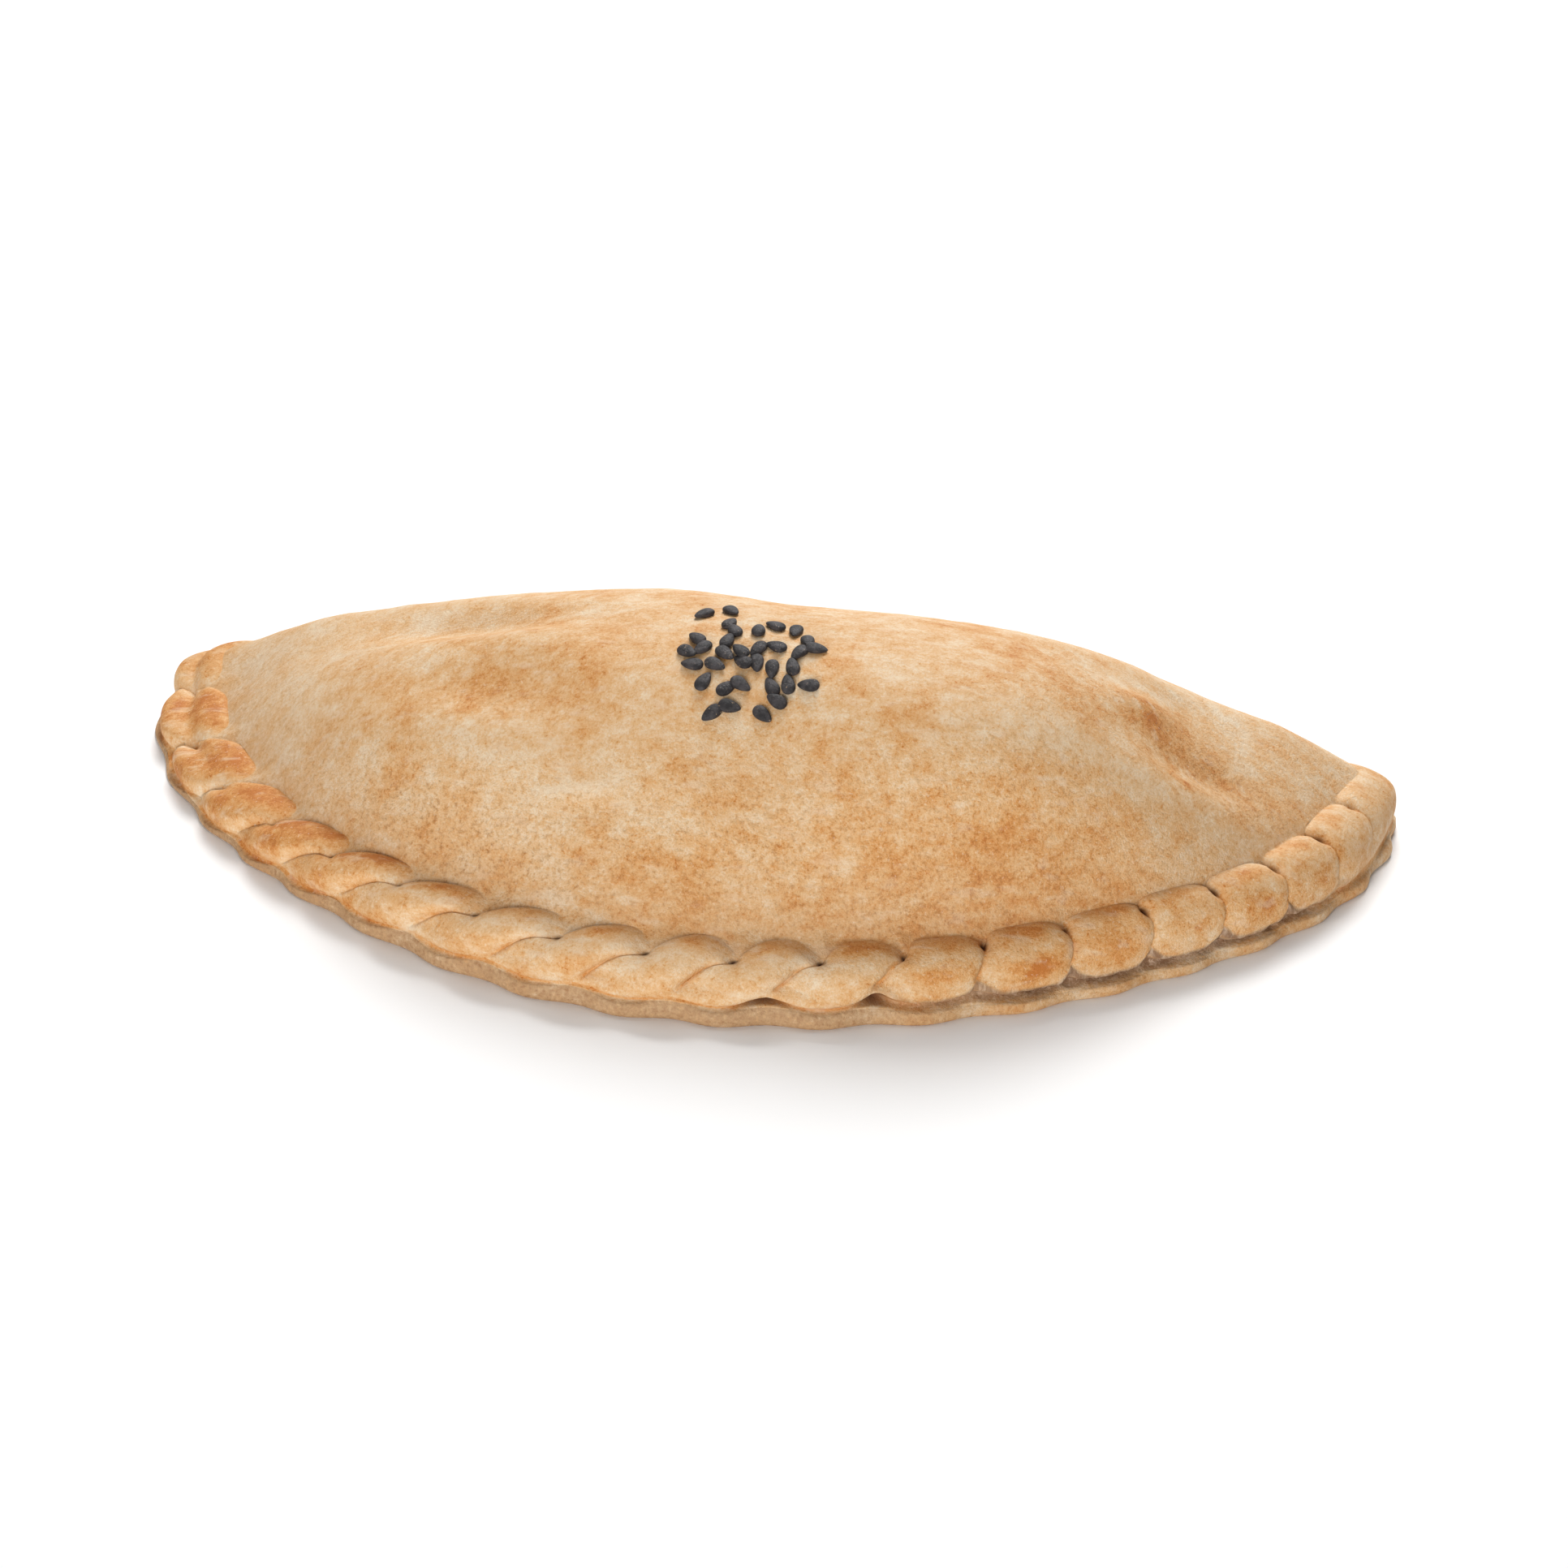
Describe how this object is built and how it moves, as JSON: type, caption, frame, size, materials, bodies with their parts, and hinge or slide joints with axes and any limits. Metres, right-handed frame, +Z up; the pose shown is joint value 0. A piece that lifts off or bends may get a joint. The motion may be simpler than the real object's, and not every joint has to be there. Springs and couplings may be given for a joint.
{
  "type": "empanada",
  "caption": "Half-moon baked empanada with a rope-crimped curved edge, a plain fold at the back and black sesame seeds on its crown.",
  "frame": {"origin": "middle of the bounding box in plan, on the flat underside", "axes": "+X along the length, to the right seen from the crimped edge; -Y towards the crimped edge; +Z up"},
  "size_m": [0.1774, 0.0804, 0.0387],
  "materials": {
    "crust": "baked dough, matte and floury, tan with orange-brown browning on the crimps",
    "sesame": "black sesame seed, low sheen"
  },
  "bodies": {
    "root": {"empanada": "crust"}
  },
  "joints": []
}
